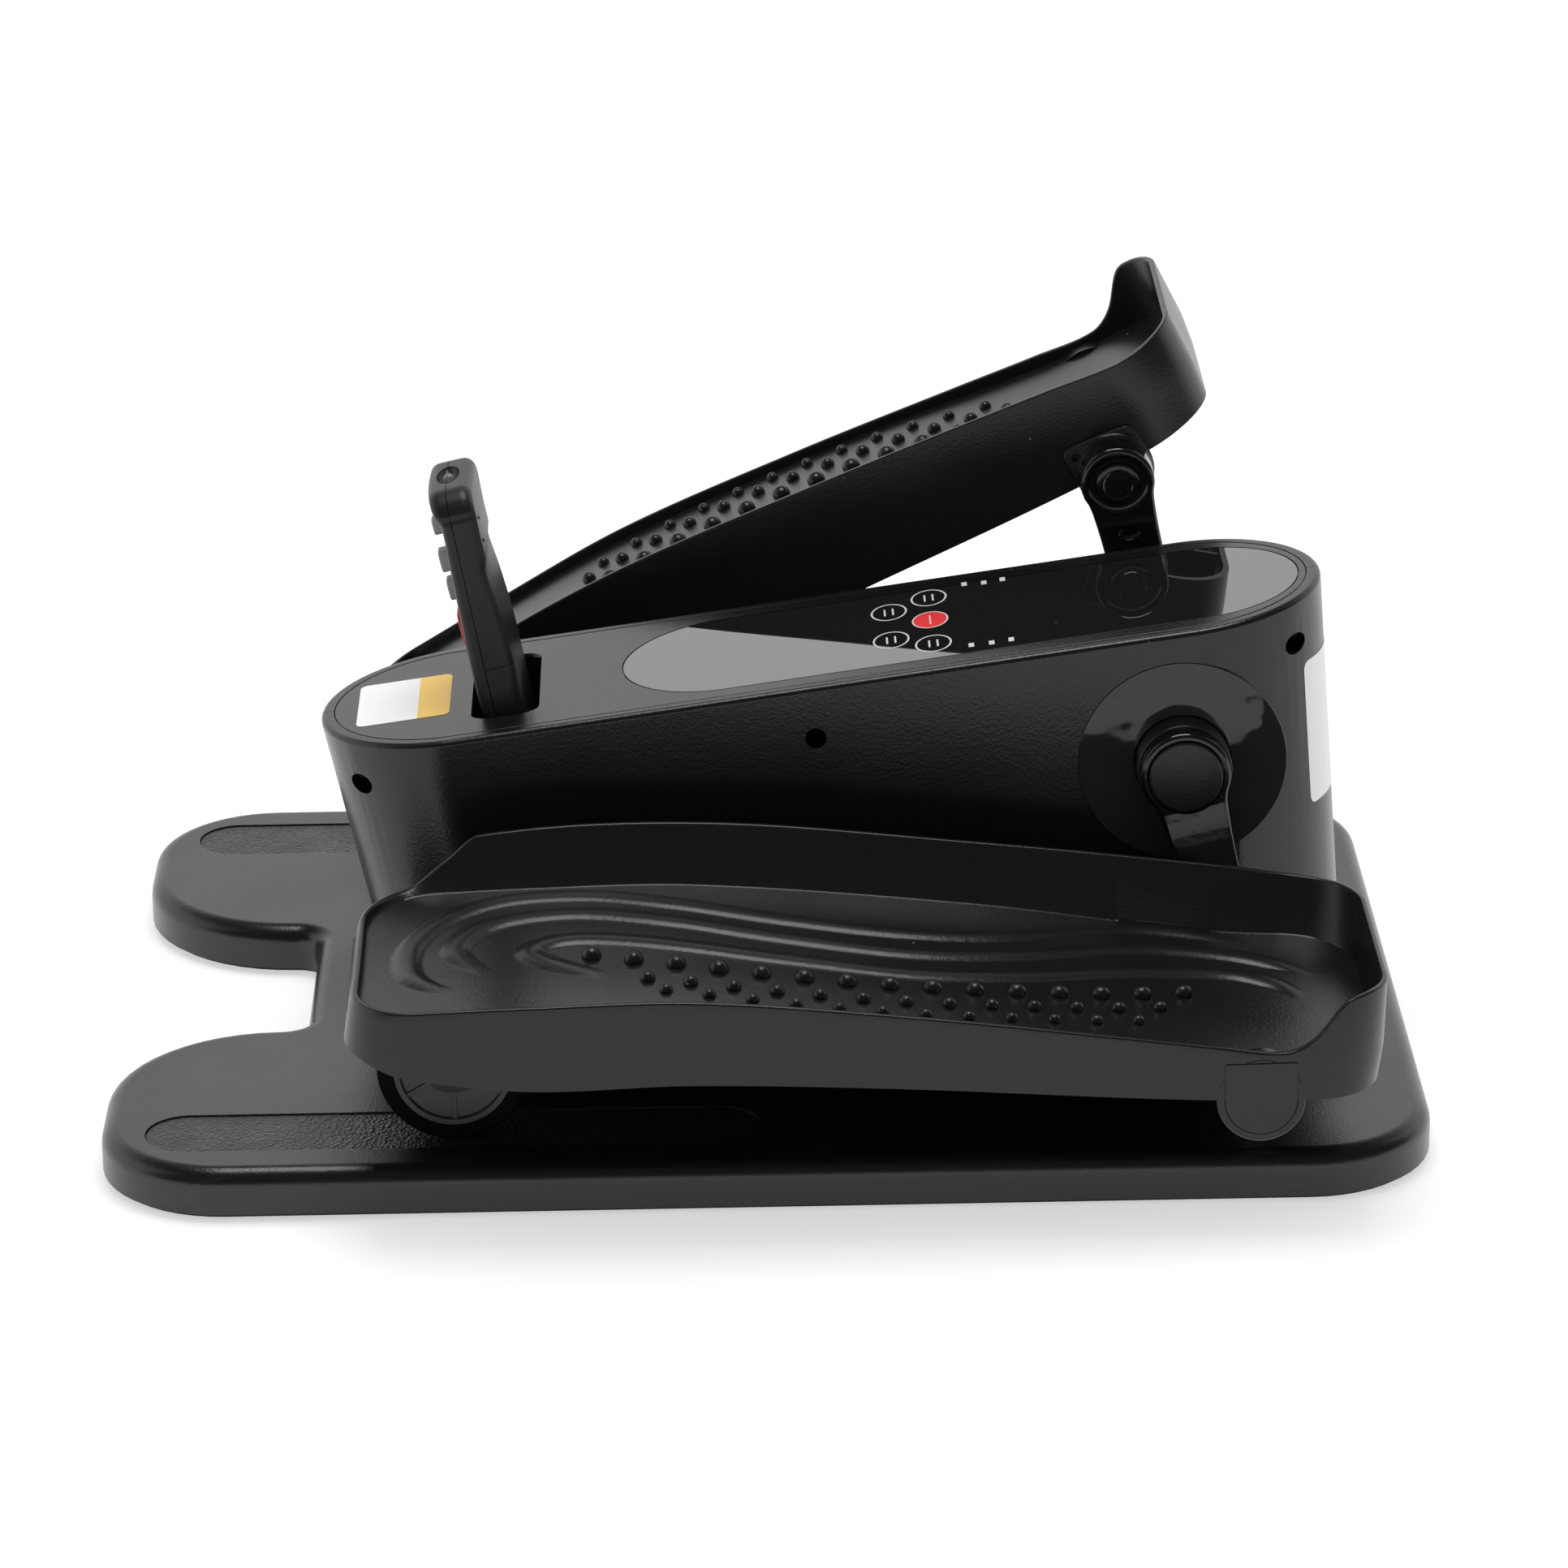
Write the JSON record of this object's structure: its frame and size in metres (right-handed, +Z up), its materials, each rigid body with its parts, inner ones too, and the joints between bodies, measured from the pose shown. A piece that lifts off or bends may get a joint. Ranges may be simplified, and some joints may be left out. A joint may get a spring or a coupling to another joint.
{
  "type": "mini elliptical trainer",
  "caption": "Under-desk mini elliptical trainer: foot trays on cranks with heel rollers, wedge housing with display window, base plate and remote control in its pocket.",
  "frame": {"origin": "on the floor, under the middle of the base plate", "axes": "+X along the machine towards the toe and crank end, the user sits at -X; +Z up; -Y is the near side in the picture"},
  "size_m": [0.565, 0.4816, 0.2878],
  "materials": {
    "shell": "fine-grained satin black",
    "grain": "grained matt black",
    "rubber": "matt black",
    "tyre": "satin black, smooth tread",
    "gloss": "gloss black",
    "paint": "gloss black",
    "steel": "zinc plated",
    "key_grey": "matt grey",
    "key_red": "matt red",
    "board": "green board",
    "clear": "clear"
  },
  "bodies": {
    "stand": {"base_tray": "shell", "bottom_plate": "rubber", "foot_front_near": "rubber", "foot_front_far": "rubber", "foot_rear_near": "rubber", "foot_rear_far": "rubber", "track_strip_near": "grain", "track_strip_far": "grain", "housing_shell_near": "shell", "housing_shell_far": "shell", "top_cover": "shell", "display_lens": "gloss", "display_board": "board", "side_disc_near": "gloss", "side_disc_far": "gloss", "bearing_near": "steel", "bearing_far": "steel", "drive_frame": "steel", "gear_motor": "steel", "drive_belt": "rubber", "control_board": "board", "power_jack": "rubber", "housing_screw_rear": "steel", "housing_screw_middle": "steel", "housing_screw_front": "steel"},
    "crankset": {"crank_axle": "steel", "hub_sleeve_near": "shell", "hub_sleeve_far": "shell", "drive_pulley": "rubber", "crank_arm_near": "paint", "crank_arm_far": "paint", "crank_cap_near": "shell", "crank_cap_far": "shell", "pedal_spindle_near": "paint", "pedal_spindle_far": "paint"},
    "motor_pulley": {"motor_pulley": "steel"},
    "remote": {"remote_front_shell": "shell", "remote_back_shell": "shell", "remote_battery_door": "shell", "remote_emitter": "clear"},
    "power_switch": {"power_switch": "rubber"},
    "pedal_near": {"pedal_tray_near": "shell", "spindle_bracket_near": "shell", "spindle_cover_near": "shell", "roller_fork_near": "steel", "roller_axle_near": "steel"},
    "roller_near": {"roller_hub_near": "shell", "roller_tyre_near": "tyre"},
    "pedal_far": {"pedal_tray_far": "shell", "spindle_bracket_far": "shell", "spindle_cover_far": "shell", "roller_fork_far": "steel", "roller_axle_far": "steel"},
    "roller_far": {"roller_hub_far": "shell", "roller_tyre_far": "tyre"},
    "remote_key_1": {"remote_key_1": "key_grey"},
    "remote_key_2": {"remote_key_2": "key_grey"},
    "remote_key_3": {"remote_key_3": "key_grey"},
    "remote_key_stop": {"remote_key_stop": "key_red"}
  },
  "joints": [
    {"name": "crank_turn", "type": "hinge", "parent": "stand", "child": "crankset", "pos_m": [0.1833, 0, 0.1421], "axis": [0, -1, 0], "range_deg": [0, 180]},
    {"name": "pedal_tilt_near", "type": "hinge", "parent": "crankset", "child": "pedal_near", "pos_m": [0.20239, -0.17, 0.06133], "axis": [0, -1, 0], "range_deg": [-164.7, 0]},
    {"name": "pedal_tilt_far", "type": "hinge", "parent": "crankset", "child": "pedal_far", "pos_m": [0.16421, 0.17, 0.22287], "axis": [0, -1, 0], "range_deg": [-217.8, 0]},
    {"name": "motor_turn", "type": "hinge", "parent": "stand", "child": "motor_pulley", "pos_m": [0.07, 0.02, 0.085], "axis": [0, -1, 0], "range_deg": [0, 691]},
    {"name": "remote_lift", "type": "slide", "parent": "stand", "child": "remote", "axis": [-0.2181, 0, 0.9759], "range_m": [0, 0.15]},
    {"name": "switch_rock", "type": "hinge", "parent": "stand", "child": "power_switch", "pos_m": [0.22848, 0.04919, 0.056], "axis": [-0.848, 0.5299, 0], "range_deg": [-10, 0]},
    {"name": "roller_spin_near", "type": "hinge", "parent": "pedal_near", "child": "roller_near", "pos_m": [-0.13156, -0.169, 0.0555], "axis": [0, -1, 0], "continuous": true},
    {"name": "roller_spin_far", "type": "hinge", "parent": "pedal_far", "child": "roller_far", "pos_m": [-0.12483, 0.169, 0.0555], "axis": [0, -1, 0], "continuous": true},
    {"name": "remote_key_1_press", "type": "slide", "parent": "remote", "child": "remote_key_1", "axis": [0.9759, 0, 0.2181], "range_m": [0, 0.001], "stiffness_N_per_m": 400},
    {"name": "remote_key_2_press", "type": "slide", "parent": "remote", "child": "remote_key_2", "axis": [0.9759, 0, 0.2181], "range_m": [0, 0.001], "stiffness_N_per_m": 400},
    {"name": "remote_key_3_press", "type": "slide", "parent": "remote", "child": "remote_key_3", "axis": [0.9759, 0, 0.2181], "range_m": [0, 0.001], "stiffness_N_per_m": 400},
    {"name": "remote_key_stop_press", "type": "slide", "parent": "remote", "child": "remote_key_stop", "axis": [0.9759, 0, 0.2181], "range_m": [0, 0.001], "stiffness_N_per_m": 400}
  ],
  "couplings": [
    {"joint": "pedal_tilt_near", "follows": "crank_turn", "ratio": -0.915},
    {"joint": "pedal_tilt_far", "follows": "crank_turn", "ratio": -1.21},
    {"joint": "motor_turn", "follows": "crank_turn", "ratio": 3.8333}
  ]
}
